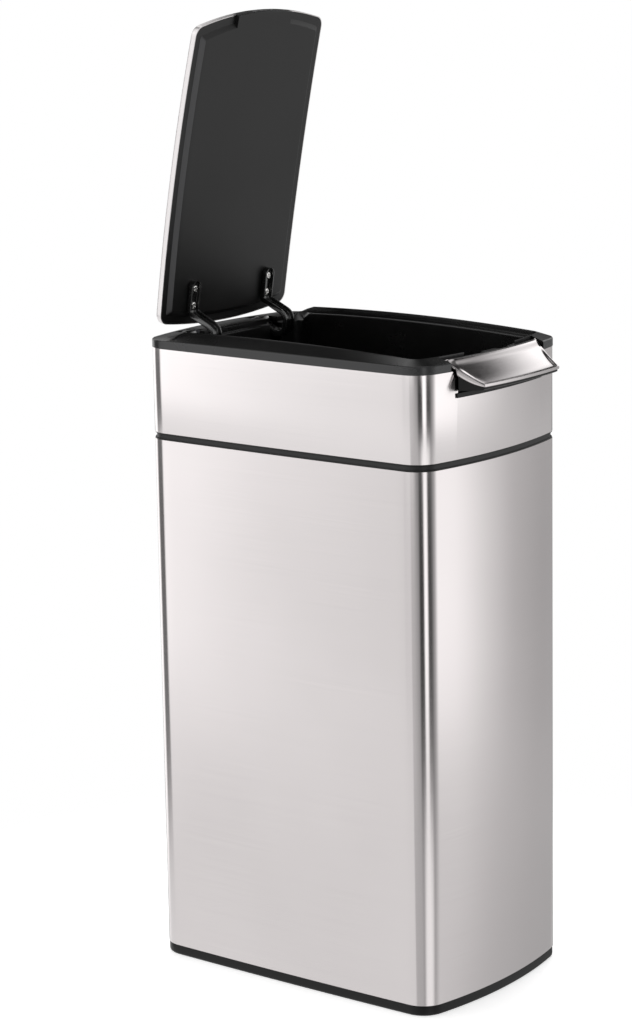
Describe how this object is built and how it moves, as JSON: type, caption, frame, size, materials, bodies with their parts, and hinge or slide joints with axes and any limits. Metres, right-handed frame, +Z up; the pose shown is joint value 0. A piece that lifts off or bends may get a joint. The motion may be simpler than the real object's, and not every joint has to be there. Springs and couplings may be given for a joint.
{
  "type": "touch bar trash can",
  "caption": "Slim rectangular steel kitchen waste can with a lift-off collar, a sprung hinged lid standing open and a scooped touch bar at the front that releases the lid.",
  "frame": {"origin": "on the floor, under the middle of the can body", "axes": "+Z up, -Y towards the touch bar (front), +X to the left of a person who faces the front"},
  "size_m": [0.2428, 0.3989, 0.9801],
  "materials": {
    "body_steel": "brushed, with a clear satin sheen",
    "bar_steel": "satin",
    "black_plastic": "satin",
    "pan_plastic": "fine matte grain",
    "arm_black": "black coat",
    "bright_screw": "polished",
    "zinc_steel": "zinc plated",
    "spring_steel": "bright drawn",
    "pad_rubber": "matte"
  },
  "bodies": {
    "body": {"base_tray": "black_plastic", "grip_pads": "pad_rubber", "lower_shell": "body_steel", "seam_ring": "black_plastic"},
    "collar": {"collar_shell": "body_steel", "top_rim": "black_plastic", "collar_ring": "black_plastic", "collar_screws": "zinc_steel", "hinge_bracket_left": "zinc_steel", "hinge_bracket_right": "zinc_steel", "bracket_screws": "zinc_steel", "hinge_axle": "zinc_steel", "lid_spring_left": "spring_steel", "lid_spring_right": "spring_steel", "bar_housing": "black_plastic", "bar_pin": "zinc_steel", "bar_spring_left": "spring_steel", "bar_spring_right": "spring_steel"},
    "lid": {"lid_skin": "body_steel", "lid_pan": "pan_plastic", "hinge_arm_left": "arm_black", "hinge_arm_right": "arm_black", "arm_screws": "bright_screw", "lid_striker": "zinc_steel"},
    "bar": {"touch_bar": "bar_steel", "bar_carrier": "black_plastic", "latch_hook": "spring_steel", "hook_screws": "zinc_steel"}
  },
  "joints": [
    {"name": "collar_lift", "type": "slide", "parent": "body", "child": "collar", "axis": [0, 0, 1], "range_m": [0, 0.12]},
    {"name": "lid_swing", "type": "hinge", "parent": "collar", "child": "lid", "pos_m": [0, 0.164, 0.651], "axis": [1, 0, 0], "range_deg": [0, 79.5], "stiffness_Nm_per_rad": 0.9, "springref_deg": -34.38, "deforming": ["lid_spring_left", "lid_spring_right", "latch_hook"]},
    {"name": "touch_bar_press", "type": "hinge", "parent": "collar", "child": "bar", "pos_m": [0, -0.1745, 0.634], "axis": [1, 0, 0], "range_deg": [0, 7], "stiffness_Nm_per_rad": 0.8, "springref_deg": -17.19, "deforming": ["bar_spring_left", "bar_spring_right"]}
  ]
}
